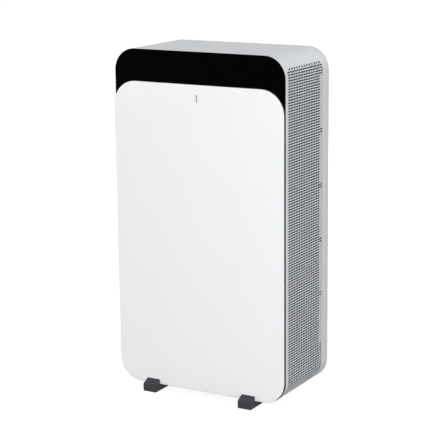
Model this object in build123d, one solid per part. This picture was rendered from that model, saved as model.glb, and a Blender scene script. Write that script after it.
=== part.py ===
from build123d import *
import math
import os

os.makedirs("parts", exist_ok=True)

# A floor-standing compressor dehumidifier. +Z is up, -Y is the front, and the origin is on
# the floor under the middle of the feet. Millimetres throughout.

# Clearances
seat_gap = 0.2          # between a piece and the wall it is let into
slide_gap = 0.3         # between a piece that slides and what guides it
pin_gap = 0.05          # radial, round a turning pin or shaft

# Body
body_width = 362.0
body_height = 650.0
body_radius = 42.5      # corner radius seen from the front
ground_gap = 14.0       # floor to the underside of the body
casing_wall = 1.5
casing_depth = 165.0
cover_depth = 13.5      # rear cover's skirt, front to back
panel_gap = 2.0         # shadow gap behind the front panel
panel_thickness = 3.5

# Perforated sides
grille_front_margin = 5.5    # casing's front edge to the sheet
grille_depth = 149.0
grille_low_margin = 32.0     # body's underside to the sheet
grille_high_margin = 18.0    # body's top to the sheet
slot_rows = 117
slot_pitch = 5.0
slot_height = 2.6
slot_length = 69.0
slot_columns = 2
slot_bridge = 2.0
slot_front_margin = 5.5      # sheet's front edge to the slots
slot_low_margin = 8.0        # sheet's lower edge to the first row's middle
liner_thickness = 1.0        # dust screen behind the sheet
liner_lap = 4.0              # how far it reaches past the sheet, above and below

# Front
fascia_thickness = 4.0
fascia_rim = 1.2             # thin edge that covers the casing's front
fascia_rim_inset = 0.15      # body's outline to that edge
fascia_tab_width = 14.0
fascia_tab_depth = 5.0
fascia_tab_thickness = 2.0
fascia_tab_distance = 90.0
fascia_band = 60.0           # black band left above the panel
panel_top_radius = 46.5
panel_low_radius = 43.5
panel_drop = 1.0             # panel's lower edge below the body's
panel_edge = 1.2             # rounding of the panel's front edge
pad_radius = 9.0
pad_inset_x = 60.0
pad_inset_z = 70.0
lens_width = 2.7
lens_height = 13.8
lens_drop = 18.6             # panel's top to the lens

# Rear cover
cover_wall = 2.5
cover_lip = 6.0              # locating lip inside the casing
cover_lip_wall = 2.0
cover_flange_depth = 23.7    # side flange behind the last slots
flange_low_inset = 81.7      # body's underside to the flange
flange_high_inset = 47.3     # body's top to the flange
flange_notches = 4
notch_height = 9.0           # two rows of slots
notch_depth = 15.0
notch_rise = 181.3           # body's underside to the first notch's middle
notch_distance = 105.0       # middle to middle
cover_edge = 2.5             # rounding of the rear edge

# Decks and plates
pan_thickness = 2.5
pan_corner_gap = 1.5         # pan's side edge to the start of the body's corner
deck_thickness = 2.5
deck_room = 35.5             # compressor's top to the lower deck's underside
head_room = 64.0             # upper deck's underside to the body's top
deck_rear_inset = 6.5
motor_plate_thickness = 1.5
motor_plate_gap = 4.0        # behind the fascia
shroud_thickness = 2.0
bell_length = 10.0           # impeller's rear plane to the fan shroud

# Fan
fan_height = 165.0           # lower deck's top to the fan's axis
impeller_radius = 115.0
impeller_depth = 44.0
impeller_eye = 86.0
impeller_plate = 2.0
blade_count = 11
blade_thickness = 2.0
blade_inner_radius = 60.0
blade_sweep = 38.0           # degrees from root to tip
hub_radius = 15.0
hub_length = 22.0
bell_radius = 80.0
bell_wall = 2.5
bell_overlap = 2.0           # how far the bell reaches into the impeller
bell_gap = 4.0               # bell to the blades
shaft_radius = 4.0
shaft_seat = 16.0            # how far the shaft runs into the motor
motor_radius = 45.0
motor_length = 21.0
motor_gap = 4.0              # motor to impeller
nut_width = 13.0
nut_thickness = 6.0
motor_screw_ring_radius = 33.0
motor_screw_radius = 2.0
motor_screw_length = 8.0
motor_screw_head = 3.8
motor_screw_head_height = 2.5

# Coils
tube_radius = 4.8
tube_pitch = 26.0
coil_head = 60.0             # least height from the last tube row to the upper deck
fin_pitch = 6.0
fin_thickness = 0.8
fin_depth = 22.0
fin_overhang = 13.0          # fins above and below the outer tube rows
end_plate_thickness = 1.5
end_plate_depth = 26.0
bend_radius = 12.0
condenser_gap = 7.0          # fan shroud to the condenser's end plates
coil_gap = 4.0               # between the two coils' end plates
coil_lift = 30.0             # lower deck's top to the first tube row
tube_stub = 5.0              # tube beyond its end plate
bend_room = 17.0             # least width from the bends to the upright pipes

# Drip tray
tray_wall = 2.0
tray_height = 17.5
tray_side_inset = 25.0       # body's side to the tray
tray_gap = 0.3               # behind the fan shroud
spout_inset = 98.0           # bay's right side to the spout
spout_radius = 8.0
spout_bore = 6.0
spigot_radius = 6.5
spigot_root_radius = 7.5     # the thicker stretch that passes through the rear cover
spigot_root_reach = 0.5      # how far that stands out of it
spigot_bore = 4.5
spigot_reach = 12.0          # beyond the rear cover
spigot_rise = 9.0            # lower deck's top to the spigot's axis
bung_head_radius = 6.0
bung_head_length = 3.5
bung_plug_length = 10.0

# Compressor
compressor_inset = 81.0      # body's left side to the compressor's axis
compressor_y = 0.0
compressor_radius = 50.0
compressor_length = 176.0
compressor_dome = 18.0
foot_plate_thickness = 2.5
foot_ring_radius = 60.0
foot_lobe_radius = 11.0
grommet_height = 14.0
grommet_radius = 7.0
grommet_head = 3.5
stud_radius = 3.0
stud_nut_radius = 5.0
stud_nut_height = 4.0
discharge_radius = 4.0
accumulator_reach = 48.0     # from the compressor's axis, along X
accumulator_radius = 18.0
accumulator_length = 120.0
accumulator_rise = 52.0      # body's underside to its lower end
strap_width = 10.0
strap_height = 16.0
pipe_bend = 9.0
tight_bend = 5.4
pipe_drop = 12.0             # lower deck to the discharge pipe's level stretch
pipe_step = 12.0             # discharge pipe to the suction pipe, in height
column_inset = 16.0          # body's side to the upright pipes
pipe_hole_gap = 1.5

# Liquid line
drier_radius = 9.0
drier_length = 50.0
drier_rise = 45.0            # first tube row to the drier's lower end
liquid_radius = 3.0
capillary_radius = 1.5
capillary_rise = 30.0        # above the drier

# Tank bay and tank
bay_inset = 13.0             # body's right side to the bay
bay_room = 2.0               # compressor's feet to the bay
bay_wall = 2.0
bay_deck_gap = 9.0           # bay's roof to the lower deck
bay_rib_inset = 18.0
bay_rib_width = 4.0
bay_radius = 36.0            # lower right corner
bay_front = -72.0
tank_side_gap = 2.5
tank_top_gap = 3.0
tank_wall = 2.5
tank_front_gap = 3.0
lid_thickness = 2.5
lid_hole_radius = 14.0
recess_width = 104.0
recess_height = 76.0
recess_depth = 24.0
recess_drop = 20.0           # tank's top to the recess
handle_bar = 8.0
handle_side_gap = 1.0
handle_length = 44.0
handle_pin_radius = 3.0
handle_pin_length = 2.8
handle_inset = 0.5           # tank's rear face to the handle
handle_pin_drop = 8.0        # recess top to the handle's pivot
float_inset = 42.5           # tank's left side to the float's middle
float_pivot_y = -40.0
float_arm = 45.0
float_length = 40.0
float_width = 34.0
float_height = 14.0
float_drop = 24.0            # pivot to the middle of the float
float_arm_width = 6.0
float_pin_radius = 2.0
float_ear = 3.0
float_ear_drop = 10.0        # lid's underside to the pivot
magnet_radius = 5.0
magnet_thickness = 3.0
sensor_width = 16.0
sensor_length = 24.0
sensor_height = 4.0

# Filter cassette
filter_side_inset = 36.5     # body's side to the cassette
filter_head = 18.5           # cassette's top to the upper deck's underside
filter_rise = 29.0           # lower deck's top to the cassette
filter_wall = 2.5
filter_depth = 14.0
louvre_pitch = 8.0
louvre_opening = 5.0
louvre_margin = 12.0
louvre_columns = 4
louvre_post = 6.0
mesh_thickness = 1.0
filter_guide = 2.0
tab_width = 40.0
tab_height = 12.0

# Mains inlet
inlet_inset = 41.0           # body's left side to the inlet's middle
inlet_rise = 60.0            # body's underside to the inlet's middle
inlet_width = 28.0
inlet_height = 20.0
inlet_depth = 18.0
inlet_flange = 8.0
inlet_flange_thickness = 2.0
socket_width = 24.0
socket_height = 16.0
socket_depth = 15.0
blade_pin_width = 4.0
blade_pin_height = 2.0
blade_pin_distance = 7.0
blade_pin_length = 12.0

# Electronics
box_left_inset = 91.0        # body's left side to the control box
box_right_inset = 71.0
box_half_depth = 55.0
box_height = 38.0
box_wall = 2.0
board_thickness = 1.6
board_lift = 5.0
board_margin = 4.0
post_radius = 3.0
post_inset = 6.0
transformer_width = 32.0
transformer_length = 34.0
transformer_height = 20.0
transformer_inset = 10.0     # board's left edge to the transformer
relay_width = 18.0
relay_length = 16.0
relay_height = 15.0
relay_inset = 60.0           # board's left edge to the first relay
relay_distance = 30.0        # first relay to the second
capacitor_radius = 17.0
capacitor_length = 60.0
display_side_inset = 86.0    # body's side to the display board
display_height = 36.0
display_drop = 12.0          # body's top to the display board
display_frame = 2.4
display_border = 3.0
humidity_width = 14.0
humidity_height = 24.0
humidity_depth = 5.0

# Feet and screws
foot_side_inset = 76.0       # body's side to the foot's middle
foot_width = 27.5
foot_reach = 17.0            # ahead of the body
foot_inside = 47.0           # whole length of a foot
foot_face = 16.0             # height of the upright front face
foot_lap = 9.5               # how far a front foot laps up over the panel
rear_foot_lap = 5.0          # lower, because the tank slides out over it
foot_pad = 1.0
foot_pad_inset = 4.0
foot_edge = 1.0
screw_radius = 1.9
screw_head_radius = 3.6
screw_head_height = 2.2
screw_length = 22.0
top_screw_inset = 121.0      # body's side to the top pair of cover screws
boss_size = 10.0
foot_screw_radius = 2.5
foot_screw_head = 5.0
foot_screw_head_height = 2.5
foot_screw_depth = 10.0
foot_screw_inset = 25.0      # body's face to the screw

# Worked out from the above
half_width = body_width / 2
body_low = ground_gap
body_high = body_low + body_height
body_depth = panel_thickness + panel_gap + casing_depth + cover_depth
panel_front = -body_depth / 2
panel_back = panel_front + panel_thickness
casing_front = panel_back + panel_gap
casing_back = casing_front + casing_depth
wrap_front = casing_front + fascia_rim + seat_gap
cover_back = casing_back + cover_depth
cover_inside = cover_back - cover_wall
inner_half = half_width - casing_wall
inner_low = body_low + casing_wall
inner_high = body_high - casing_wall
fascia_back = casing_front + fascia_thickness
lip_front = casing_back - cover_lip
lip_inner_half = inner_half - seat_gap - cover_lip_wall
flange_front = casing_back - cover_flange_depth
grille_front = casing_front + grille_front_margin
grille_back = grille_front + grille_depth
grille_low = body_low + grille_low_margin
grille_high = body_high - grille_high_margin
panel_low = body_low - panel_drop
panel_high = body_high - fascia_band
pan_half_width = half_width - body_radius - pan_corner_gap
pan_high = inner_low + pan_thickness
pan_front = fascia_back + fascia_tab_depth + seat_gap
pan_back = lip_front - seat_gap
foot_plate_low = pan_high + grommet_height
compressor_low = foot_plate_low + foot_plate_thickness
compressor_high = compressor_low + compressor_length
compressor_x = -half_width + compressor_inset
deck_low = compressor_high + deck_room
deck_high = deck_low + deck_thickness
upper_deck_low = body_high - head_room
upper_deck_high = upper_deck_low + deck_thickness
deck_front = casing_front + fascia_thickness + motor_plate_gap
deck_back = casing_back - deck_rear_inset
liner_inset = casing_wall + seat_gap
liner_front = fascia_back + seat_gap
liner_back = flange_front - seat_gap
liner_low = grille_low - liner_lap
liner_high = grille_high + liner_lap
deck_half = half_width - liner_inset - liner_thickness - seat_gap
deck_rear_half = lip_inner_half - seat_gap
motor_plate_back = deck_front + motor_plate_thickness
fan_z = deck_high + fan_height
motor_back = motor_plate_back + motor_length
impeller_front = motor_back + motor_gap
impeller_back = impeller_front + impeller_depth
shroud_place = impeller_back + bell_length
bell_front = impeller_back - bell_overlap
shroud_back = shroud_place + shroud_thickness
tray_front = shroud_back + tray_gap
condenser_y = shroud_back + condenser_gap + end_plate_depth / 2
evaporator_y = condenser_y + end_plate_depth + coil_gap
tray_back = evaporator_y + end_plate_depth / 2 + tray_wall + 1.0
tray_floor = deck_high + tray_wall
first_row = deck_high + coil_lift
tube_rows = 2 * int((upper_deck_low - coil_head - first_row) / tube_pitch / 2) + 1
last_row = first_row + (tube_rows - 1) * tube_pitch
pipe_column_x = half_width - column_inset
bend_end = pipe_column_x - bend_room
fin_reach = bend_end - bend_radius - tube_stub - end_plate_thickness - fin_pitch / 2 - fin_thickness / 2
fin_count = 2 * int(fin_reach / fin_pitch) + 1
fin_half = (fin_count - 1) * fin_pitch / 2 + fin_thickness / 2
plate_inside = fin_half + fin_pitch / 2
tube_end = plate_inside + end_plate_thickness + tube_stub
tray_half_width = half_width - tray_side_inset
spigot_x = compressor_x
spigot_z = deck_high + spigot_rise
spigot_root_end = cover_back + spigot_root_reach
spigot_end = cover_back + spigot_reach
bay_left = compressor_x + foot_ring_radius + foot_lobe_radius + bay_room
bay_right = half_width - bay_inset
bay_low = pan_high
bay_roof = deck_low - bay_deck_gap
tank_left = bay_left + bay_wall + tank_side_gap
tank_right = bay_right - bay_wall - tank_side_gap
tank_low = bay_low + bay_wall + slide_gap
tank_high = bay_roof - bay_wall - tank_top_gap
tank_front = bay_front + bay_wall + tank_front_gap
tank_radius = bay_radius - bay_wall - tank_side_gap
rim_high = tank_high - lid_thickness
recess_x = (tank_left + tank_right) / 2
recess_high = tank_high - recess_drop
recess_low = recess_high - recess_height
recess_front = cover_back - recess_depth
handle_z = recess_high - handle_pin_drop
handle_y = cover_back - handle_inset - handle_bar / 2
handle_half = recess_width / 2 - handle_side_gap
float_pivot_z = rim_high - float_ear_drop
float_y = float_pivot_y + float_arm
float_z = float_pivot_z - float_drop
filter_low = deck_high + filter_rise
filter_high = upper_deck_low - filter_head
filter_half_width = half_width - filter_side_inset
filter_front = cover_back - filter_depth
inlet_x = -half_width + inlet_inset
inlet_z = body_low + inlet_rise
accumulator_x = compressor_x + accumulator_reach
accumulator_low = body_low + accumulator_rise
accumulator_high = accumulator_low + accumulator_length
coil_inlet = tube_end + bend_radius
spout_x = bay_right - spout_inset
spout_y = (condenser_y + evaporator_y) / 2
float_x = tank_left + float_inset
box_left = -half_width + box_left_inset
box_right = half_width - box_right_inset
display_half_width = half_width - display_side_inset
foot_x = half_width - foot_side_inset
top_screw_x = half_width - top_screw_inset
sides = (-1, 1)
side_view = Rot(0, 0, 90) * Rot(90, 0, 0)     # a flat outline's axes to Y and Z, its depth to X


def block(x0, x1, y0, y1, z0, z1):
    return Pos((x0 + x1) / 2, (y0 + y1) / 2, (z0 + z1) / 2) * Box(x1 - x0, y1 - y0, z1 - z0)


def rod_x(y, z, radius, x0, x1):
    return Pos((x0 + x1) / 2, y, z) * Rot(0, 90, 0) * Cylinder(radius, x1 - x0)


def rod_y(x, z, radius, y0, y1):
    return Pos(x, (y0 + y1) / 2, z) * Rot(90, 0, 0) * Cylinder(radius, y1 - y0)


def rod_z(x, y, radius, z0, z1):
    return Pos(x, y, (z0 + z1) / 2) * Cylinder(radius, z1 - z0)


def upright(outline, z, front, back):
    # an outline drawn as seen from the front, given its depth along Y
    return Pos(0, back, z) * Rot(90, 0, 0) * extrude(outline, back - front)


def slab(half, low, high, radius, front, back):
    outline = RectangleRounded(2 * half, high - low, radius)
    return upright(outline, (low + high) / 2, front, back)


def shell_slab(inset, front, back):
    # the body's outline, moved inwards all round
    return slab(half_width - inset, body_low + inset, body_high - inset, body_radius - inset, front, back)


def bay_slab(left, right, low, high, radius, front, back):
    # a rectangle whose lower right corner is rounded
    outline = Rectangle(right - left, high - low)
    corner = outline.vertices().sort_by(Axis.Y)[:2].sort_by(Axis.X)[-1]
    outline = fillet(corner, radius)
    return Pos((left + right) / 2, 0, 0) * upright(outline, (low + high) / 2, front, back)


def pipe(points, radii, radius):
    path = FilletPolyline(*points, radius=radii)
    return sweep(Plane(path @ 0, z_dir=path % 0) * Circle(radius), path=path)


def cover_screws():
    return [
        (-pipe_column_x, deck_high + boss_size / 2),
        (pipe_column_x, deck_high + boss_size / 2),
        (-pipe_column_x + boss_size, upper_deck_high + boss_size / 2),
        (pipe_column_x - boss_size, upper_deck_high + boss_size / 2),
        (-top_screw_x, inner_high - boss_size / 2),
        (top_screw_x, inner_high - boss_size / 2),
    ]


def screw_boss(x, z):
    boss = block(x - boss_size / 2, x + boss_size / 2, deck_back - boss_size, deck_back,
                 z - boss_size / 2, z + boss_size / 2)
    return boss - rod_y(x, z, screw_radius + pin_gap, deck_back - boss_size - 1, deck_back + 1)


def foot_screw_places():
    reach = body_depth / 2 - foot_screw_inset
    return [(side_x * foot_x, side_y * reach) for side_x in sides for side_y in sides]


def grille_zone(side):
    # the part of the casing's side that is perforated sheet
    outer = side * (half_width + 1)
    inner = side * (half_width - body_radius / 2)
    return block(min(outer, inner), max(outer, inner), grille_front, grille_back, grille_low, grille_high)


def casing():
    wrap = shell_slab(0, wrap_front, casing_back) - shell_slab(casing_wall, wrap_front - 1, casing_back + 1)
    for side in sides:
        wrap -= grille_zone(side)
    for x, y in foot_screw_places():
        wrap -= rod_z(x, y, foot_screw_radius + pin_gap, body_low - 1, inner_low + 1)
    for x, z in cover_screws()[4:]:
        wrap += screw_boss(x, z)
    return wrap


def side_grille(side):
    wrap = shell_slab(0, wrap_front, casing_back) - shell_slab(casing_wall, wrap_front - 1, casing_back + 1)
    sheet = wrap & grille_zone(side)
    slots = []
    for row in range(slot_rows):
        z = grille_low + slot_low_margin + row * slot_pitch
        for column in range(slot_columns):
            y = grille_front + slot_front_margin + column * (slot_length + slot_bridge)
            x = side * (half_width - body_radius / 4)
            reach = body_radius / 2
            slots.append(block(x - reach, x + reach, y, y + slot_length,
                               z - slot_height / 2, z + slot_height / 2))
    return sheet - Compound(children=slots)


def side_liner(side):
    # dust screen just inside the perforated sheet
    shell = shell_slab(liner_inset, liner_front, liner_back)
    shell -= shell_slab(liner_inset + liner_thickness, liner_front - 1, liner_back + 1)
    outer = side * half_width
    inner = side * (half_width - body_radius / 2)
    return shell & block(min(outer, inner), max(outer, inner), liner_front, liner_back, liner_low, liner_high)


def side_liners():
    return Compound(children=[side_liner(side) for side in sides])


def fascia():
    plate = shell_slab(fascia_rim_inset, casing_front, casing_front + fascia_rim)
    plate += shell_slab(casing_wall + seat_gap, casing_front, fascia_back)
    for column in (-1, 0, 1):
        x = column * fascia_tab_distance
        for low in (inner_low + seat_gap, inner_high - seat_gap - fascia_tab_thickness):
            plate += block(x - fascia_tab_width / 2, x + fascia_tab_width / 2, fascia_back - 1,
                           fascia_back + fascia_tab_depth, low, low + fascia_tab_thickness)
    return plate


def lens_slot(gap, front, back):
    z = panel_high - lens_drop - lens_height / 2
    return block(-lens_width / 2 - gap, lens_width / 2 + gap, front, back,
                 z - lens_height / 2 - gap, z + lens_height / 2 + gap)


def panel():
    outline = Rectangle(body_width, panel_high - panel_low)
    low_corners = outline.vertices().sort_by(Axis.Y)[:2]
    outline = fillet(low_corners, panel_low_radius)
    top_corners = outline.vertices().sort_by(Axis.Y)[-2:]
    outline = fillet(top_corners, panel_top_radius)
    plate = upright(outline, (panel_low + panel_high) / 2, panel_front, panel_back)
    plate = fillet(plate.edges().group_by(Axis.Y)[0], panel_edge)
    return plate - lens_slot(pin_gap, panel_front - 1, panel_back + 1)


def panel_pads():
    pads = []
    middle = (panel_low + panel_high) / 2
    for side in sides:
        for z in (panel_low + pad_inset_z, middle, panel_high - pad_inset_z):
            pads.append(rod_y(side * (half_width - pad_inset_x), z, pad_radius, panel_back, casing_front))
    return Compound(children=pads)


def lens():
    return lens_slot(0, panel_front + pin_gap, casing_front)


def tank_opening(gap, front, back):
    return bay_slab(tank_left - gap, tank_right + gap, tank_low - gap, tank_high + gap,
                    tank_radius + gap, front, back)


def filter_block(gap, front, back):
    return block(-filter_half_width - gap, filter_half_width + gap, front, back,
                 filter_low - gap, filter_high + gap)


def rear_cover():
    cover = fillet(shell_slab(0, casing_back, cover_back).edges().group_by(Axis.Y)[-1], cover_edge)
    cover -= shell_slab(cover_wall, casing_back - 1, cover_inside)
    lip_inset = casing_wall + seat_gap
    lip = shell_slab(lip_inset, lip_front, cover_inside)
    cover += lip - shell_slab(lip_inset + cover_lip_wall, lip_front - 1, cover_inside)
    for side in sides:
        outer = side * (inner_half - seat_gap)
        inner = side * lip_inner_half
        cover += block(min(outer, inner), max(outer, inner), flange_front, lip_front + 1,
                       body_low + flange_low_inset, body_high - flange_high_inset)
        for index in range(flange_notches):
            z = body_low + notch_rise + index * notch_distance
            cover -= block(min(outer, inner) - 1, max(outer, inner) + 1, flange_front - 1,
                           flange_front + notch_depth, z - notch_height / 2, z + notch_height / 2)
    cover += filter_block(slide_gap + filter_guide, filter_front, cover_inside)
    cover -= filter_block(slide_gap, filter_front - 1, cover_back + 1)
    cover -= tank_opening(tank_side_gap / 2, casing_back - 1, cover_back + 1)
    cover -= tank_opening(tank_side_gap / 2, lip_front - 1, cover_inside)
    cover -= rod_y(spigot_x, spigot_z, spigot_root_radius + slide_gap, casing_back - 1, cover_back + 1)
    cover -= block(inlet_x - inlet_width / 2 - seat_gap, inlet_x + inlet_width / 2 + seat_gap,
                   casing_back, cover_back + 1,
                   inlet_z - inlet_height / 2 - seat_gap, inlet_z + inlet_height / 2 + seat_gap)
    for x, z in cover_screws():
        cover -= rod_y(x, z, screw_radius + pin_gap, cover_inside - 1, cover_back + 1)
        cover -= rod_y(x, z, screw_head_radius + seat_gap, cover_back - screw_head_height, cover_back + 1)
    return cover


def rear_cover_screws():
    screws = []
    for x, z in cover_screws():
        seat = cover_back - screw_head_height
        shank = rod_y(x, z, screw_radius, cover_back - screw_length, seat)
        screws.append(shank + rod_y(x, z, screw_head_radius, seat, cover_back))
    return Compound(children=screws)


def base_pan():
    pan = block(-pan_half_width, pan_half_width, pan_front, pan_back, inner_low, pan_high)
    for x, y in foot_screw_places():
        pan -= rod_z(x, y, foot_screw_head + seat_gap, inner_low - 1, pan_high + 1)
    return pan


def deck(low, high):
    plate = block(-deck_half, deck_half, deck_front, flange_front - seat_gap, low, high)
    return plate + block(-deck_rear_half, deck_rear_half, deck_front, deck_back, low, high)


def lower_deck():
    plate = deck(deck_low, deck_high)
    plate -= rod_z(spout_x, spout_y, spout_radius + seat_gap, deck_low - 1, deck_high + 1)
    for y, radius in ((condenser_y, discharge_radius), (evaporator_y, tube_radius)):
        plate -= rod_z(-pipe_column_x, y, radius + pipe_hole_gap, deck_low - 1, deck_high + 1)
    for x, z in cover_screws()[:2]:
        plate += screw_boss(x, z)
    return plate


def upper_deck():
    plate = deck(upper_deck_low, upper_deck_high)
    for x, z in cover_screws()[2:4]:
        plate += screw_boss(x, z)
    return plate


def motor_screw_places():
    ring = PolarLocations(motor_screw_ring_radius, 4, start_angle=45)
    return [(place.position.X, fan_z + place.position.Y) for place in ring]


def motor_plate():
    plate = block(-deck_half, deck_half, deck_front, motor_plate_back, deck_high, upper_deck_low)
    for x, z in motor_screw_places():
        plate -= rod_y(x, z, motor_screw_radius + pin_gap, deck_front - 1, motor_plate_back + 1)
    return plate


def fan_motor():
    motor = rod_y(0, fan_z, motor_radius, motor_plate_back, motor_back)
    motor = fillet(motor.edges().group_by(Axis.Y)[-1], 3)
    motor -= rod_y(0, fan_z, shaft_radius + pin_gap, motor_back - shaft_seat - pin_gap, motor_back + 1)
    for x, z in motor_screw_places():
        motor -= rod_y(x, z, motor_screw_radius + pin_gap, motor_plate_back - 1,
                       deck_front + motor_screw_length + pin_gap)
    return motor


def motor_screws():
    screws = []
    for x, z in motor_screw_places():
        shank = rod_y(x, z, motor_screw_radius, deck_front, deck_front + motor_screw_length)
        screws.append(shank + rod_y(x, z, motor_screw_head, deck_front - motor_screw_head_height, deck_front))
    return Compound(children=screws)


def fan_shroud():
    plate = block(-deck_half, deck_half, shroud_place, shroud_back, deck_high, upper_deck_low)
    plate += rod_y(0, fan_z, bell_radius + bell_wall, bell_front, shroud_back)
    return plate - rod_y(0, fan_z, bell_radius, bell_front - 1, shroud_back + 1)


def blade():
    # one backward-swept blade, drawn round the origin
    tip_radius = impeller_radius - blade_thickness
    inner = []
    outer = []
    for step in (0, 0.5, 1):
        radius = blade_inner_radius + step * (tip_radius - blade_inner_radius)
        angle = math.radians(-blade_sweep * step ** 1.5)
        middle = Vector(radius * math.cos(angle), radius * math.sin(angle))
        lean = angle - math.radians(blade_sweep * step)
        across = Vector(-math.sin(lean), math.cos(lean)) * (blade_thickness / 2)
        inner.append(middle - across)
        outer.append(middle + across)
    edges = [
        ThreePointArc(*inner),
        Line(inner[2], outer[2]),
        ThreePointArc(*reversed(outer)),
        Line(outer[0], inner[0]),
    ]
    return make_face(edges)


def fan_impeller():
    back_ring = Circle(impeller_radius) - Circle(impeller_eye)
    fan = extrude(Circle(impeller_radius), impeller_plate)
    fan += Pos(0, 0, impeller_depth - impeller_plate) * extrude(back_ring, impeller_plate)
    for index in range(blade_count):
        fan += Rot(0, 0, 360 / blade_count * index) * extrude(blade(), impeller_depth)
    eye_cut = bell_overlap + bell_gap
    fan -= Pos(0, 0, impeller_depth - eye_cut) * extrude(Circle(impeller_eye), eye_cut)
    fan += extrude(Circle(hub_radius), hub_length)
    fan -= extrude(Circle(shaft_radius), hub_length)
    return Pos(0, impeller_front, fan_z) * Rot(-90, 0, 0) * fan


def fan_shaft():
    return rod_y(0, fan_z, shaft_radius, motor_back - shaft_seat, impeller_front + hub_length + nut_thickness)


def hub_nut():
    nut = extrude(RegularPolygon(nut_width / 2, 6, major_radius=False) - Circle(shaft_radius), nut_thickness)
    return Pos(0, impeller_front + hub_length, fan_z) * Rot(-90, 0, 0) * nut


def row_height(row):
    return first_row + row * tube_pitch


def coil_fins(y):
    outline = Rectangle(fin_depth, last_row - first_row + 2 * fin_overhang)
    for row in range(tube_rows):
        outline -= Pos(0, row_height(row) - (first_row + last_row) / 2) * Circle(tube_radius + pin_gap)
    fin = Pos(0, y, (first_row + last_row) / 2) * side_view * extrude(outline, fin_thickness)
    start = -(fin_count - 1) * fin_pitch / 2 - fin_thickness / 2
    return Compound(children=[Pos(start + index * fin_pitch, 0, 0) * fin for index in range(fin_count)])


def coil_end_plate(side, y):
    near = side * plate_inside
    far = side * (plate_inside + end_plate_thickness)
    plate = block(min(near, far), max(near, far), y - end_plate_depth / 2, y + end_plate_depth / 2,
                  tray_floor, last_row + fin_overhang)
    for row in range(tube_rows):
        plate -= rod_x(y, row_height(row), tube_radius + pin_gap, min(near, far) - 1, max(near, far) + 1)
    return plate


def coil_end_plates():
    return Compound(children=[coil_end_plate(side, y) for side in sides for y in (condenser_y, evaporator_y)])


def coil_tube(y):
    # one tube, back and forth from the top left to the lower right
    points = [(-coil_inlet, y, last_row)]
    side = 1
    for row in range(tube_rows - 1, 0, -1):
        points.append((side * coil_inlet, y, row_height(row)))
        points.append((side * coil_inlet, y, row_height(row - 1)))
        side = -side
    points.append((coil_inlet, y, first_row))
    return pipe(points, bend_radius, tube_radius)


def drip_tray():
    tray = block(-tray_half_width, tray_half_width, tray_front, tray_back, deck_high, deck_high + tray_height)
    tray -= block(-tray_half_width + tray_wall, tray_half_width - tray_wall, tray_front + tray_wall,
                  tray_back - tray_wall, tray_floor, deck_high + tray_height + 1)
    tray += rod_z(spout_x, spout_y, spout_radius, bay_roof - bay_wall + seat_gap, tray_floor)
    tray -= rod_z(spout_x, spout_y, spout_bore, bay_roof - bay_wall - 1, tray_floor + 1)
    tray += rod_y(spigot_x, spigot_z, spigot_root_radius, tray_back - tray_wall, spigot_root_end)
    tray += rod_y(spigot_x, spigot_z, spigot_radius, spigot_root_end, spigot_end)
    return tray - rod_y(spigot_x, spigot_z, spigot_bore, tray_back - tray_wall - 1, spigot_end + 1)


def drain_bung():
    bung = rod_y(spigot_x, spigot_z, spigot_bore - pin_gap, spigot_end - bung_plug_length, spigot_end)
    return bung + rod_y(spigot_x, spigot_z, bung_head_radius, spigot_end, spigot_end + bung_head_length)


def stud_places():
    ring = PolarLocations(foot_ring_radius, 3)
    return [(compressor_x + place.position.X, compressor_y + place.position.Y) for place in ring]


def compressor():
    shell = rod_z(compressor_x, compressor_y, compressor_radius, compressor_low, compressor_high)
    return fillet(shell.edges().filter_by(GeomType.CIRCLE), compressor_dome)


def compressor_plate():
    outline = Circle(compressor_radius)
    for turn in PolarLocations(0, 3):
        lobe = Pos(foot_ring_radius / 2, 0) * Rectangle(foot_ring_radius, 2 * foot_lobe_radius)
        outline += turn * (lobe + Pos(foot_ring_radius, 0) * Circle(foot_lobe_radius))
        outline -= turn * Pos(foot_ring_radius, 0) * Circle(stud_nut_radius + pin_gap)
    return Pos(compressor_x, compressor_y, foot_plate_low) * extrude(outline, foot_plate_thickness)


def compressor_grommets():
    grommets = []
    for x, y in stud_places():
        grommet = rod_z(x, y, grommet_radius, pan_high, foot_plate_low)
        grommet += rod_z(x, y, stud_nut_radius, foot_plate_low, compressor_low)
        grommet += rod_z(x, y, grommet_radius, compressor_low, compressor_low + grommet_head)
        grommets.append(grommet - rod_z(x, y, stud_radius, pan_high - 1, compressor_low + grommet_head + 1))
    return Compound(children=grommets)


def compressor_studs():
    studs = []
    for x, y in stud_places():
        top = compressor_low + grommet_head
        stud = rod_z(x, y, stud_radius, pan_high, top)
        studs.append(stud + rod_z(x, y, stud_nut_radius, top, top + stud_nut_height))
    return Compound(children=studs)


def accumulator_offset():
    # from the compressor's axis to the accumulator's, seen from above
    return Vector(accumulator_reach, evaporator_y - compressor_y)


def suction_accumulator():
    # an upright can, and the bracket that holds it to the compressor's side
    shell = rod_z(accumulator_x, evaporator_y, accumulator_radius, accumulator_low, accumulator_high)
    shell = fillet(shell.edges().filter_by(GeomType.CIRCLE), accumulator_radius / 2)
    offset = accumulator_offset()
    z = (accumulator_low + accumulator_high) / 2
    bar = block(compressor_radius - strap_width / 2, offset.length, -strap_width / 2, strap_width / 2,
                z - strap_height / 2, z + strap_height / 2)
    bar = Pos(compressor_x, compressor_y, 0) * Rot(0, 0, math.degrees(math.atan2(offset.Y, offset.X))) * bar
    bar -= rod_z(compressor_x, compressor_y, compressor_radius + pin_gap, z - strap_height, z + strap_height)
    return shell + bar


def suction_link():
    # from the foot of the accumulator round into the compressor's side
    offset = accumulator_offset()
    touch = Vector(compressor_x, compressor_y) + offset * (compressor_radius / offset.length)
    level = accumulator_low - 2 * pipe_bend
    points = [
        (accumulator_x, evaporator_y, accumulator_low),
        (accumulator_x, evaporator_y, level),
        (touch.X, touch.Y, level),
    ]
    return pipe(points, pipe_bend, tube_radius)


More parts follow.
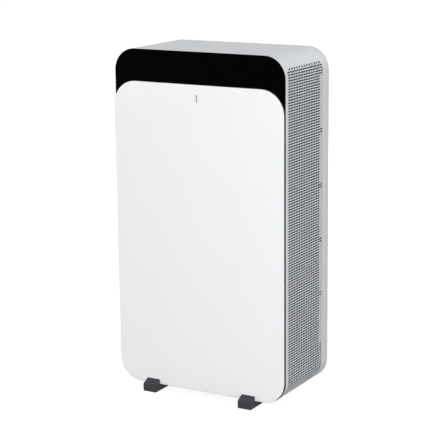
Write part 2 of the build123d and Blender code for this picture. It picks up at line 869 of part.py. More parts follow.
def discharge_pipe():
    level = deck_low - pipe_drop
    column = -pipe_column_x
    points = [
        (compressor_x, compressor_y, compressor_high),
        (compressor_x, compressor_y, level),
        (column, compressor_y, level),
        (column, condenser_y, level),
        (column, condenser_y, last_row),
        (-coil_inlet, condenser_y, last_row),
    ]
    return pipe(points, tight_bend, discharge_radius)


def suction_pipe():
    level = deck_low - pipe_drop - pipe_step
    column = -pipe_column_x
    points = [
        (accumulator_x, evaporator_y, accumulator_high),
        (accumulator_x, evaporator_y, level),
        (column, evaporator_y, level),
        (column, evaporator_y, last_row),
        (-coil_inlet, evaporator_y, last_row),
    ]
    return pipe(points, tight_bend, tube_radius)


def liquid_pipe():
    points = [
        (coil_inlet, condenser_y, first_row),
        (pipe_column_x, condenser_y, first_row),
        (pipe_column_x, condenser_y, first_row + drier_rise),
    ]
    return pipe(points, tight_bend, liquid_radius)


def filter_drier():
    low = first_row + drier_rise
    shell = rod_z(pipe_column_x, condenser_y, drier_radius, low, low + drier_length)
    return fillet(shell.edges().filter_by(GeomType.CIRCLE), drier_radius / 2)


def capillary():
    top = first_row + drier_rise + drier_length
    points = [
        (pipe_column_x, condenser_y, top),
        (pipe_column_x, condenser_y, top + capillary_rise),
        (pipe_column_x, evaporator_y, top + capillary_rise),
        (pipe_column_x, evaporator_y, first_row),
        (coil_inlet, evaporator_y, first_row),
    ]
    return pipe(points, tight_bend, capillary_radius)


def tank_bay():
    bay = bay_slab(bay_left, bay_right, bay_low, bay_roof, bay_radius, bay_front, deck_back)
    bay -= bay_slab(bay_left + bay_wall, bay_right - bay_wall, bay_low + bay_wall, bay_roof - bay_wall,
                    bay_radius - bay_wall, bay_front + bay_wall, deck_back + 1)
    for x in (bay_left + bay_rib_inset, bay_right - bay_rib_inset - bay_rib_width):
        bay += block(x, x + bay_rib_width, bay_front, deck_back, bay_roof - 1, deck_low)
    return bay - rod_z(spout_x, spout_y, spout_radius + seat_gap, bay_roof - bay_wall - 1, bay_roof + 1)


def level_sensor():
    return block(float_x - sensor_width / 2, float_x + sensor_width / 2, float_y - sensor_length / 2,
                 float_y + sensor_length / 2, bay_roof, bay_roof + sensor_height)


def water_tank():
    tank = bay_slab(tank_left, tank_right, tank_low, tank_high, tank_radius, tank_front, cover_back)
    inner_back = recess_front - tank_wall
    well = bay_slab(tank_left + tank_wall, tank_right - tank_wall, tank_low + tank_wall, tank_high + 1,
                    tank_radius - tank_wall, tank_front + tank_wall, cover_back - tank_wall)
    hood = block(recess_x - recess_width / 2 - tank_wall, recess_x + recess_width / 2 + tank_wall,
                 inner_back, cover_back, recess_low - tank_wall, recess_high + tank_wall)
    tank -= well - hood
    tank -= block(recess_x - recess_width / 2, recess_x + recess_width / 2, recess_front, cover_back + 1,
                  recess_low, recess_high)
    tank -= block(tank_left - 1, tank_right + 1, tank_front - 1, cover_back - tank_wall,
                  rim_high, tank_high + 1)
    reach = recess_width / 2 + handle_pin_length + pin_gap - handle_side_gap
    return tank - rod_x(handle_y, handle_z, handle_pin_radius + pin_gap, recess_x - reach, recess_x + reach)


def tank_lid():
    lid = block(tank_left, tank_right, tank_front, cover_back - tank_wall - seat_gap, rim_high, tank_high)
    lid -= rod_z(spout_x, spout_y, lid_hole_radius, rim_high - 1, tank_high + 1)
    for side in sides:
        inside = float_x + side * (float_width / 2 + slide_gap)
        outside = inside + side * float_ear
        low_x = min(inside, outside)
        high_x = max(inside, outside)
        half_ear = float_ear + float_pin_radius
        ear = block(low_x, high_x, float_pivot_y - half_ear, float_pivot_y + half_ear, float_pivot_z, rim_high)
        ear += rod_x(float_pivot_y, float_pivot_z, half_ear, low_x, high_x)
        lid += ear - rod_x(float_pivot_y, float_pivot_z, float_pin_radius + pin_gap, low_x - 1, high_x + 1)
    return lid


def tank_handle():
    reach = handle_half
    bar_z = handle_z - handle_length
    half_bar = handle_bar / 2
    handle = rod_x(handle_y, bar_z, half_bar, recess_x - reach + half_bar, recess_x + reach - half_bar)
    for side in sides:
        inside = recess_x + side * (reach - handle_bar)
        outside = recess_x + side * reach
        low_x = min(inside, outside)
        high_x = max(inside, outside)
        handle += block(low_x, high_x, handle_y - half_bar, handle_y + half_bar, bar_z, handle_z)
        handle += rod_x(handle_y, handle_z, half_bar, low_x, high_x)
        handle += rod_x(handle_y, bar_z, half_bar, low_x, high_x)
        pin_end = outside + side * handle_pin_length
        handle += rod_x(handle_y, handle_z, handle_pin_radius, min(inside, pin_end), max(inside, pin_end))
    return handle


def tank_float():
    block_low = float_z - float_height / 2
    body = block(float_x - float_width / 2, float_x + float_width / 2, float_y - float_length / 2,
                 float_y + float_length / 2, block_low, block_low + float_height)
    body -= rod_z(float_x, float_y, magnet_radius, block_low + float_height - magnet_thickness,
                  block_low + float_height + 1)
    lean = math.degrees(math.atan2(float_drop, float_arm - float_length / 2 + float_arm_width))
    reach = math.hypot(float_drop, float_arm - float_length / 2 + float_arm_width)
    half_arm = float_arm_width / 2
    for side in sides:
        edge = float_x + side * (float_width / 2 - half_arm)
        arm = block(-half_arm, half_arm, 0, reach, -half_arm, half_arm)
        body += Pos(edge, float_pivot_y, float_pivot_z) * Rot(-lean, 0, 0) * arm
    half_width_now = float_width / 2
    body += rod_x(float_pivot_y, float_pivot_z, half_arm, float_x - half_width_now, float_x + half_width_now)
    pin = half_width_now + slide_gap + float_ear
    return body + rod_x(float_pivot_y, float_pivot_z, float_pin_radius, float_x - pin, float_x + pin)


def float_magnet():
    top = float_z + float_height / 2
    return rod_z(float_x, float_y, magnet_radius, top - magnet_thickness, top)


def filter_frame():
    frame = filter_block(0, filter_front, cover_back)
    frame -= filter_block(-filter_wall, filter_front - 1, cover_back - filter_wall)
    shelf = filter_high - tab_height
    frame += block(-filter_half_width + 1, filter_half_width - 1, filter_front, cover_back - 1,
                   shelf - filter_wall, shelf)
    opening_low = filter_low + louvre_margin
    opening_high = shelf - louvre_margin
    rows = int((opening_high - opening_low) / louvre_pitch)
    left = -filter_half_width + louvre_margin
    column_width = (2 * -left - (louvre_columns - 1) * louvre_post) / louvre_columns
    openings = []
    for row in range(rows):
        z = opening_low + row * louvre_pitch
        for column in range(louvre_columns):
            x = left + column * (column_width + louvre_post)
            openings.append(block(x, x + column_width, cover_back - filter_wall - 1, cover_back + 1,
                                  z, z + louvre_opening))
    frame -= Compound(children=openings)
    return frame - block(-tab_width / 2, tab_width / 2, cover_back - filter_wall - 1, cover_back + 1,
                         shelf, filter_high - filter_wall)


def filter_mesh():
    back = cover_back - filter_wall
    inset = filter_wall + seat_gap
    return block(-filter_half_width + inset, filter_half_width - inset, back - mesh_thickness, back,
                 filter_low + inset, filter_high - tab_height - inset)


def mains_inlet():
    back = cover_back + inlet_flange_thickness
    body = block(inlet_x - inlet_width / 2, inlet_x + inlet_width / 2, cover_back - inlet_depth, back,
                 inlet_z - inlet_height / 2, inlet_z + inlet_height / 2)
    body += block(inlet_x - inlet_width / 2 - inlet_flange, inlet_x + inlet_width / 2 + inlet_flange,
                  cover_back, back, inlet_z - inlet_height / 2 - 2, inlet_z + inlet_height / 2 + 2)
    socket = block(inlet_x - socket_width / 2, inlet_x + socket_width / 2, back - socket_depth, back + 1,
                   inlet_z - socket_height / 2, inlet_z + socket_height / 2)
    body -= socket
    for column in (-1, 0, 1):
        x = inlet_x + column * blade_pin_distance
        body += block(x - blade_pin_height / 2, x + blade_pin_height / 2, back - socket_depth - 1,
                      back - socket_depth + blade_pin_length,
                      inlet_z - blade_pin_width / 2, inlet_z + blade_pin_width / 2)
    return body


def control_box():
    top = upper_deck_high + box_height
    box = block(box_left, box_right, -box_half_depth, box_half_depth, upper_deck_high, top)
    return box - block(box_left + box_wall, box_right - box_wall, -box_half_depth + box_wall,
                       box_half_depth - box_wall, upper_deck_high + box_wall, top + 1)


def control_box_lid():
    top = upper_deck_high + box_height
    return block(box_left, box_right, -box_half_depth, box_half_depth, top, top + box_wall)


def control_board():
    floor = upper_deck_high + box_wall
    low = floor + board_lift
    top = low + board_thickness
    left = box_left + box_wall + board_margin
    right = box_right - box_wall - board_margin
    depth = box_half_depth - box_wall - board_margin
    board = block(left, right, -depth, depth, low, top)
    for x in (left + post_inset, right - post_inset):
        for y in (-depth + post_inset, depth - post_inset):
            board += rod_z(x, y, post_radius, floor, top)
    transformer = left + transformer_inset
    board += block(transformer, transformer + transformer_width, -transformer_length / 2,
                   transformer_length / 2, low, top + transformer_height)
    for relay in (left + relay_inset, left + relay_inset + relay_distance):
        board += block(relay, relay + relay_width, -post_inset - relay_length, -post_inset,
                       low, top + relay_height)
    return board


def run_capacitor():
    # a can that lies on the upper deck, beside the control box
    x = box_right + 1 + capacitor_radius
    z = upper_deck_high + capacitor_radius
    return rod_y(x, z, capacitor_radius, -capacitor_length / 2, capacitor_length / 2)


def display_board():
    high = body_high - display_drop
    low = high - display_height
    board_front = fascia_back + display_frame
    half = display_half_width
    inside = half - display_border
    frame = block(-half, half, fascia_back, board_front, low, high)
    frame -= block(-inside, inside, fascia_back - 1, board_front, low + display_border, high - display_border)
    return frame + block(-half, half, board_front, board_front + board_thickness, low, high)


def humidity_sensor():
    x = filter_half_width + humidity_width
    return block(x - humidity_width / 2, x + humidity_width / 2, cover_inside - humidity_depth, cover_inside,
                 filter_high - humidity_height, filter_high)


def foot(side_x, side_y):
    face = body_depth / 2
    reach = face + foot_reach
    body_top = ground_gap
    panel_seat = panel_low - slide_gap
    notch = face - panel_thickness - panel_gap
    lap = foot_lap if side_y < 0 else rear_foot_lap
    outline = Polyline(
        (reach - foot_inside, foot_pad),
        (reach, foot_pad),
        (reach, foot_face),
        (face + slide_gap, body_top + lap),
        (face + slide_gap, panel_seat),
        (notch, panel_seat),
        (notch, body_top),
        (reach - foot_inside, body_top),
        close=True,
    )
    shape = extrude(make_face(outline), foot_width)
    shape = fillet(shape.edges().filter_by(Axis.Z).group_by(Axis.X)[-1], foot_edge)
    shape = Pos(-foot_width / 2, 0, 0) * side_view * shape
    shape = Pos(side_x * foot_x, 0, 0) * (Rot(0, 0, 180) * shape if side_y < 0 else shape)
    y = side_y * (face - foot_screw_inset)
    hole = foot_screw_radius + pin_gap
    return shape - rod_z(side_x * foot_x, y, hole, body_low - foot_screw_depth, body_low + 1)


def foot_pads():
    pads = []
    reach = body_depth / 2 + foot_reach
    inner = reach - foot_inside + foot_pad_inset
    outer = reach - foot_pad_inset
    half = foot_width / 2 - foot_pad_inset
    for side_x in sides:
        for side_y in sides:
            y0 = min(side_y * inner, side_y * outer)
            y1 = max(side_y * inner, side_y * outer)
            x = side_x * foot_x
            pads.append(block(x - half, x + half, y0, y1, 0, foot_pad))
    return Compound(children=pads)


def foot_screws():
    screws = []
    for x, y in foot_screw_places():
        shank = rod_z(x, y, foot_screw_radius, body_low - foot_screw_depth + pin_gap, inner_low)
        screws.append(shank + rod_z(x, y, foot_screw_head, inner_low, inner_low + foot_screw_head_height))
    return Compound(children=screws)


nodes = {
    "casing_wrap": casing(),
    "side_grille_left": side_grille(-1),
    "side_grille_right": side_grille(1),
    "side_liners": side_liners(),
    "front_fascia": fascia(),
    "front_panel": panel(),
    "front_panel_pads": panel_pads(),
    "status_lens": lens(),
    "rear_cover": rear_cover(),
    "rear_cover_screws": rear_cover_screws(),
    "base_pan": base_pan(),
    "lower_deck": lower_deck(),
    "upper_deck": upper_deck(),
    "motor_plate": motor_plate(),
    "fan_shroud": fan_shroud(),
    "fan_motor": fan_motor(),
    "motor_screws": motor_screws(),
    "fan_shaft": fan_shaft(),
    "fan_impeller": fan_impeller(),
    "hub_nut": hub_nut(),
    "condenser_fins": coil_fins(condenser_y),
    "condenser_tube": coil_tube(condenser_y),
    "evaporator_fins": coil_fins(evaporator_y),
    "coil_end_plates": coil_end_plates(),
    "evaporator_tube": coil_tube(evaporator_y),
    "drip_tray": drip_tray(),
    "drain_bung": drain_bung(),
    "compressor": compressor(),
    "compressor_plate": compressor_plate(),
    "compressor_grommets": compressor_grommets(),
    "compressor_studs": compressor_studs(),
    "suction_accumulator": suction_accumulator(),
    "suction_link": suction_link(),
    "discharge_pipe": discharge_pipe(),
    "suction_pipe": suction_pipe(),
    "liquid_pipe": liquid_pipe(),
    "filter_drier": filter_drier(),
    "capillary_tube": capillary(),
    "tank_bay": tank_bay(),
    "level_sensor": level_sensor(),
    "water_tank": water_tank(),
    "tank_lid": tank_lid(),
    "tank_handle": tank_handle(),
    "tank_float": tank_float(),
    "float_magnet": float_magnet(),
    "filter_frame": filter_frame(),
    "filter_mesh": filter_mesh(),
    "mains_inlet": mains_inlet(),
    "control_box": control_box(),
    "control_box_lid": control_box_lid(),
    "control_board": control_board(),
    "run_capacitor": run_capacitor(),
    "display_board": display_board(),
    "humidity_sensor": humidity_sensor(),
    "foot_front_left": foot(-1, -1),
    "foot_front_right": foot(1, -1),
    "foot_rear_left": foot(-1, 1),
    "foot_rear_right": foot(1, 1),
    "foot_pads": foot_pads(),
    "foot_screws": foot_screws(),
}

for name, shape in nodes.items():
    export_step(shape, f"parts/{name}.step")
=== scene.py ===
import math

import bmesh
import bpy
from mathutils import Matrix, Vector


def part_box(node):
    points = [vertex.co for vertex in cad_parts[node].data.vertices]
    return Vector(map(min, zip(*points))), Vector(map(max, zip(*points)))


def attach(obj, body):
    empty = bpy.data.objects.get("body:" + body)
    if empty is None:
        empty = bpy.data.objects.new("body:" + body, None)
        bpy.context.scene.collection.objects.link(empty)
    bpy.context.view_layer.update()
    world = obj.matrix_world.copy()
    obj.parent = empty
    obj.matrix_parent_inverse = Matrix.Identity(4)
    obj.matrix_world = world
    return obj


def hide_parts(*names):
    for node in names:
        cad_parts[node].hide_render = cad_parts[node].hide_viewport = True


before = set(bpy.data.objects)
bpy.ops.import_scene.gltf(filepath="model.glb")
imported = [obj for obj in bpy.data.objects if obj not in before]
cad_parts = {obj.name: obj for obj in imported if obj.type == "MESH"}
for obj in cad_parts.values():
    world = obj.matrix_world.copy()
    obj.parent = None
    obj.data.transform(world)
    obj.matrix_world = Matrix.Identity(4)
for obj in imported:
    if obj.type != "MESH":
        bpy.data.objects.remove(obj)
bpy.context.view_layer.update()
mm = 0.001
sharpAngle = math.radians(30)  # edges turned more than this stay sharp
weldDistance = 0.005 * mm
print("frame loaded:", len(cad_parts), "nodes")


def hexColour(text):  # sRGB hex to linear
    parts = [int(text[i:i + 2], 16) / 255 for i in (1, 3, 5)]
    return [p / 12.92 if p <= 0.04045 else ((p + 0.055) / 1.055) ** 2.4 for p in parts] + [1.0]


def addNode(tree, kind, inputs=None, **settings):  # each input is given a value or another node's output
    node = tree.nodes.new(kind)
    for key, value in settings.items():
        setattr(node, key, value)
    for key, value in (inputs or {}).items():
        if isinstance(value, bpy.types.NodeSocket):
            tree.links.new(value, node.inputs[key])
        else:
            node.inputs[key].default_value = value
    return node


def objectSpace(tree):
    return addNode(tree, "ShaderNodeTexCoord").outputs["Object"]


def sides(node):  # a node's box in millimetres
    low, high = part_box(node)
    return [value / mm for pair in zip(low, high) for value in pair]


def meshObject(name, bm, *materials):
    mesh = bpy.data.meshes.new(name)
    bm.to_mesh(mesh)
    bm.free()
    for material in materials:
        mesh.materials.append(material)
    mesh.shade_smooth()
    mesh.set_sharp_from_angle(angle=sharpAngle)
    piece = bpy.data.objects.new(name, mesh)
    bpy.context.scene.collection.objects.link(piece)
    return piece


def standFor(piece, body, slot, *nodes):  # rides on its body and takes the place of its nodes
    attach(piece, body)
    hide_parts(*nodes)
    return piece


def bake(piece):  # turns the evaluated object into a plain mesh
    graph = bpy.context.evaluated_depsgraph_get()
    mesh = bpy.data.meshes.new_from_object(piece.evaluated_get(graph))
    piece.modifiers.clear()
    piece.data = mesh
    mesh.shade_smooth()
    mesh.set_sharp_from_angle(angle=sharpAngle)
    return piece


def finish(name, colour, other, patch, grain, rough, spread=0.06, bump=0.1, height=0.05, **shader):
    # patch is the size of the soft colour changes and grain that of the surface texture, in millimetres
    material = bpy.data.materials.new(name)
    material.use_nodes = True
    tree = material.node_tree
    bsdf = tree.nodes["Principled BSDF"]
    coords = objectSpace(tree)
    clouds = addNode(tree, "ShaderNodeTexNoise", {"Scale": 1000 / patch, "Detail": 3.0, "Vector": coords})
    texture = addNode(tree, "ShaderNodeTexNoise", {"Scale": 1000 / grain, "Detail": 2.0, "Vector": coords})
    blend = addNode(tree, "ShaderNodeMix", {0: clouds.outputs["Fac"], 6: hexColour(colour),
                                            7: hexColour(other)}, data_type="RGBA")
    level = addNode(tree, "ShaderNodeMapRange", {"To Min": rough - spread, "To Max": rough + spread,
                                                 "Value": texture.outputs["Fac"]})
    relief = addNode(tree, "ShaderNodeBump", {"Strength": bump, "Distance": height * mm,
                                              "Height": texture.outputs["Fac"]})
    tree.links.new(blend.outputs[2], bsdf.inputs["Base Color"])
    tree.links.new(level.outputs[0], bsdf.inputs["Roughness"])
    tree.links.new(relief.outputs[0], bsdf.inputs["Normal"])
    for key, value in shader.items():
        bsdf.inputs[key.replace("_", " ")].default_value = value
    return material


# powder coat baked on sheet steel: a satin skin with a faint orange peel
powderCoat = finish("powderCoatSteel", "#CBCED1", "#C6C9CC", 60, 0.9, 0.5, bump=0.12, height=0.04)
# back-painted acrylic: deep black, its paint behind the gloss, with next to no texture
blackAcrylic = finish("blackAcrylicPolished", "#020203", "#030304", 40, 6, 0.2, 0.02, 0.02,
                      Specular_IOR_Level=0.01)
# injection-moulded ABS with a smooth white lacquer
whiteAbs = finish("whiteAbsLacquered", "#F1F2F4", "#EEEFF1", 120, 1.6, 0.34, 0.03, 0.05, 0.03)
# the panel's sides and back, dark grey: partly the ABS carrier behind the lacquered skin, partly painted
# shade for the shadow line along the panel's edge
carrierAndEdgeShade = finish("absCarrierAndPaintedEdgeShade", "#505154", "#4A4B4E", 30, 0.9, 0.6, 0.05, 0.15)
# frosted polycarbonate light guide: even, matt and slightly grey
frostedLens = finish("frostedPolycarbonateLens", "#A3A5A8", "#9B9DA0", 3, 0.4, 0.55)
# spark-eroded ABS: fine leathery grain, paler than the coat beside it
grainedAbs = finish("grainedAbsSilver", "#C9CCCF", "#C4C7CA", 50, 0.7, 0.58, 0.05, 0.25, 0.06)
# polyamide, moulded with a coarse spark texture
grainedNylon = finish("grainedNylonCharcoal", "#38393C", "#303134", 9, 0.8, 0.66, 0.08, 0.35, 0.08,
                      Specular_IOR_Level=0.25)
# glass-filled polypropylene: dull, with pale fibre clouds
mouldedFan = finish("glassFilledPolypropylene", "#2B2D2F", "#35373A", 14, 1.2, 0.55, 0.08, 0.2)
# polypropylene, plainly moulded
mouldedTray = finish("polypropyleneCharcoal", "#35373A", "#2E3033", 20, 1.5, 0.5, 0.07, 0.15)
# EPDM rubber: matt, dusty black
rubber = finish("rubberEpdm", "#1B1B1C", "#252526", 6, 0.6, 0.8, 0.08, 0.3, 0.08)
# stoved enamel on deep-drawn steel
blackEnamel = finish("blackEnamelSteel", "#17181A", "#1E1F21", 35, 1.4, 0.32, 0.08, 0.15)
# styrene, gloss moulded, a little cloudy
tankStyrene = finish("tankStyreneGrey", "#BEC4CA", "#B6BCC3", 70, 3, 0.22, 0.04, 0.05)
# polypropylene with a fine grip grain
gripPlastic = finish("handlePolypropylene", "#3A3C3F", "#323437", 12, 0.7, 0.55, 0.06, 0.3)
# die-cast aluminium: grainy grey skin
castAluminium = finish("castAluminium", "#A2A4A7", "#8F9194", 8, 0.9, 0.48, 0.1, 0.4, Metallic=1.0)
# zinc-plated steel: bright, slightly cloudy
zincPlate = finish("zincPlatedSteel", "#B9BABC", "#A3A5A8", 4, 0.5, 0.32, 0.08, 0.2, Metallic=1.0)
# soft-drawn copper: warm, with darker tarnish clouds
drawnCopper = finish("drawnCopper", "#C98763", "#9C6246", 18, 0.8, 0.34, 0.1, 0.15, Metallic=1.0)
# deep-drawn aluminium can
drawnAluminium = finish("drawnAluminium", "#BFC1C4", "#B0B2B5", 15, 0.5, 0.3, 0.08, 0.15, Metallic=1.0)
# rolled aluminium foil of the fins
finFoil = finish("rolledAluminiumFin", "#C4C6C9", "#AEB1B5", 10, 1.0, 0.4, 0.1, 0.2, Metallic=1.0)
# nickel-plated magnet
nickel = finish("nickelPlate", "#9C9C9A", "#8B8B8A", 5, 0.4, 0.25, 0.05, 0.1, Metallic=1.0)
# polyurethane foam pad, open cells
foamPad = finish("openCellFoam", "#232325", "#303033", 2.5, 1.1, 0.9, 0.05, 0.8, 0.4)


def galvanised(crystal, bright, dull):  # hot-dip galvanised sheet: zinc crystals, bright and dull by turns
    material = finish("galvanisedSteel", "#A9ACAF", "#9A9DA1", 30, 1.0, 0.42, 0.08, 0.15, Metallic=1.0)
    tree = material.node_tree
    coords = objectSpace(tree)
    spangle = addNode(tree, "ShaderNodeTexVoronoi", {"Scale": 1000 / crystal, "Vector": coords})
    tone = addNode(tree, "ShaderNodeMapRange", {"To Min": bright, "To Max": dull,
                                                "Value": spangle.outputs["Color"]})
    tree.links.new(tone.outputs[0], tree.nodes["Principled BSDF"].inputs["Roughness"])
    return material


def woven(name, thread, gap, pitch, rough):  # plain weave of crossing threads, pitch in millimetres
    material = finish(name, thread, gap, 20, 0.5, rough)
    tree = material.node_tree
    bsdf = tree.nodes["Principled BSDF"]
    coords = objectSpace(tree)
    axes = addNode(tree, "ShaderNodeSeparateXYZ", {0: coords}).outputs
    across = addNode(tree, "ShaderNodeMath", {0: axes[0], 1: axes[1]}, operation="ADD").outputs[0]
    waves = []
    for source in (across, axes[2]):
        turns = addNode(tree, "ShaderNodeMath", {0: source, 1: math.tau / (pitch * mm)},
                        operation="MULTIPLY")
        waves.append(addNode(tree, "ShaderNodeMath", {0: turns.outputs[0]}, operation="SINE").outputs[0])
    top = addNode(tree, "ShaderNodeMath", {0: waves[0], 1: waves[1]}, operation="MAXIMUM").outputs[0]
    share = addNode(tree, "ShaderNodeMapRange", {"From Min": -0.4, "From Max": 0.6,  # soft thread edges
                                                 "Value": top}).outputs[0]
    weave = addNode(tree, "ShaderNodeMix", {0: share, 6: hexColour(gap), 7: hexColour(thread)},
                    data_type="RGBA")
    relief = addNode(tree, "ShaderNodeBump", {"Strength": 0.6, "Distance": 0.3 * mm, "Height": top})
    tree.links.new(weave.outputs[2], bsdf.inputs["Base Color"])
    tree.links.new(relief.outputs[0], bsdf.inputs["Normal"])
    return material


def circuitBoard(track, length, row):  # solder resist over copper tracks, sizes in millimetres
    material = finish("solderResistBoard", "#1C5A34", "#174C2C", 8, 0.6, 0.35)
    tree = material.node_tree
    coords = objectSpace(tree)
    tracks = addNode(tree, "ShaderNodeTexBrick",
                     {"Scale": 1.0, "Color1": hexColour("#1C5A34"), "Color2": hexColour("#1A5230"),
                      "Mortar": hexColour("#3C8A55"), "Mortar Size": track * mm,
                      "Brick Width": length * mm, "Row Height": row * mm, "Vector": coords})
    tree.links.new(tracks.outputs["Color"], tree.nodes["Principled BSDF"].inputs["Base Color"])
    return material


def beadFoam(bead, depth):  # expanded polystyrene: pressed beads, sizes in millimetres
    material = finish("expandedPolystyrene", "#E9E9E4", "#DFDFD9", 12, 1.0, 0.75)
    tree = material.node_tree
    coords = objectSpace(tree)
    beads = addNode(tree, "ShaderNodeTexVoronoi", {"Scale": 1000 / bead, "Vector": coords})
    relief = addNode(tree, "ShaderNodeBump", {"Strength": 0.5, "Distance": depth * mm,
                                              "Height": beads.outputs["Distance"]}, invert=True)
    tree.links.new(relief.outputs[0], tree.nodes["Principled BSDF"].inputs["Normal"])
    return material


galvanisedSteel = galvanised(9, 0.28, 0.55)
filterWeave = woven("nylonFilterWeave", "#3A3C40", "#141517", 1.4, 0.7)
# spun-bonded dust screen behind the side slots: its dark grey is partly painted shade, standing in for the
# shade seen through the slots, so that they read as dark
dustScreenShadeWeave = woven("polyesterDustScreenPaintedShade", "#2E2F31", "#1E1F20", 1.1, 0.85)
boardResist = circuitBoard(0.4, 12, 3.5)
floatFoam = beadFoam(3, 0.4)
print("materials made:", len(bpy.data.materials))

nodeFinishes = {
    # the side liners take the dust screen, whose dark grey is partly painted shade inside the slots
    "side_liners": dustScreenShadeWeave, "front_panel_pads": foamPad, "rear_cover": grainedAbs,
    "base_pan": galvanisedSteel, "lower_deck": galvanisedSteel, "upper_deck": galvanisedSteel,
    "motor_plate": galvanisedSteel, "fan_shroud": galvanisedSteel, "fan_motor": castAluminium,
    "fan_shaft": zincPlate, "fan_impeller": mouldedFan, "hub_nut": zincPlate,
    "condenser_tube": drawnCopper, "evaporator_tube": drawnCopper, "coil_end_plates": galvanisedSteel,
    "drip_tray": mouldedTray, "drain_bung": rubber, "compressor": blackEnamel,
    "compressor_plate": galvanisedSteel, "compressor_grommets": rubber, "compressor_studs": zincPlate,
    "suction_accumulator": blackEnamel, "suction_link": drawnCopper, "discharge_pipe": drawnCopper,
    "suction_pipe": drawnCopper, "liquid_pipe": drawnCopper, "filter_drier": drawnCopper,
    "capillary_tube": drawnCopper, "tank_bay": mouldedTray, "level_sensor": mouldedTray,
    "water_tank": tankStyrene, "tank_lid": tankStyrene, "tank_handle": gripPlastic,
    "tank_float": floatFoam, "float_magnet": nickel, "filter_frame": grainedAbs,
    "filter_mesh": filterWeave, "mains_inlet": mouldedTray, "control_box": mouldedTray,
    "control_box_lid": mouldedTray, "control_board": boardResist, "run_capacitor": drawnAluminium,
    "display_board": boardResist, "humidity_sensor": mouldedTray, "foot_front_left": grainedNylon,
    "foot_front_right": grainedNylon, "foot_rear_left": grainedNylon, "foot_rear_right": grainedNylon,
    "foot_pads": rubber,
}
for node, material in nodeFinishes.items():
    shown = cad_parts[node].data.materials
    shown.clear()
    shown.append(material)
print("CAD nodes finished:", len(nodeFinishes))

# millimetres; the outline comes from the casing's own box
casingShape = {"radius": 42.5, "wall": 1.5, "frontEdge": 0.45, "edgeShare": 0.3, "bendSteps": 16,
               "leastStep": 0.4}
_, right, casingFront, casingBack, low, high = sides("casing_wrap")
lowBend = low + casingShape["radius"]
highBend = high - casingShape["radius"]
quarter = casingShape["radius"] * math.pi / 2
flatHalf = right - casingShape["radius"]

# perforation of the sides: rows upwards from the lower bend, columns from the front, and short slots on top
perforation = {"columns": 14, "rows": 126, "columnPitch": 10.0, "rowPitch": 5.01,
               "firstColumn": -70.5, "firstRow": 8.01, "slotLength": 9.6, "slotHeight": 2.95,
               "slotCorner": 0.7, "endColumns": 13, "endOffset": 6.6, "endTile": 5.4, "endLength": 5.6,
               "endHeight": 4.2, "wall": 0.5}
rowsLow = perforation["firstRow"] - perforation["rowPitch"] / 2
rowsHigh = rowsLow + perforation["rows"] * perforation["rowPitch"]
endHigh = rowsHigh + perforation["endTile"]
holesFront = perforation["firstColumn"] - perforation["columnPitch"] / 2
holesBack = holesFront + perforation["columns"] * perforation["columnPitch"]
endFront = holesFront + perforation["endOffset"]
endBack = endFront + perforation["endColumns"] * perforation["columnPitch"]


def wrapPoint(along, inset):  # along is the height on the side, run on round the corners
    core = min(max(along, lowBend), highBend)
    turn = (along - core) / casingShape["radius"]
    reach = casingShape["radius"] - inset
    if abs(turn) <= math.pi / 2:
        return flatHalf + reach * math.cos(turn), core + reach * math.sin(turn)
    past = (abs(turn) - math.pi / 2) * casingShape["radius"]
    return flatHalf - past, core + math.copysign(reach, turn)


def wrapStations():
    steps = casingShape["bendSteps"]
    stations = [lowBend - quarter - flatHalf, rowsLow, rowsHigh, endHigh, highBend + quarter + flatHalf]
    stations += [lowBend - quarter * k / steps for k in range(steps + 1)]
    stations += [highBend + quarter * k / steps for k in range(steps + 1)]
    stations += [rowsLow + k * perforation["rowPitch"] for k in range(perforation["rows"])
                 if not lowBend < rowsLow + k * perforation["rowPitch"] < highBend]
    kept = []
    for station in sorted(stations):
        if not kept or station - kept[-1] > casingShape["leastStep"]:
            kept.append(station)
    return kept


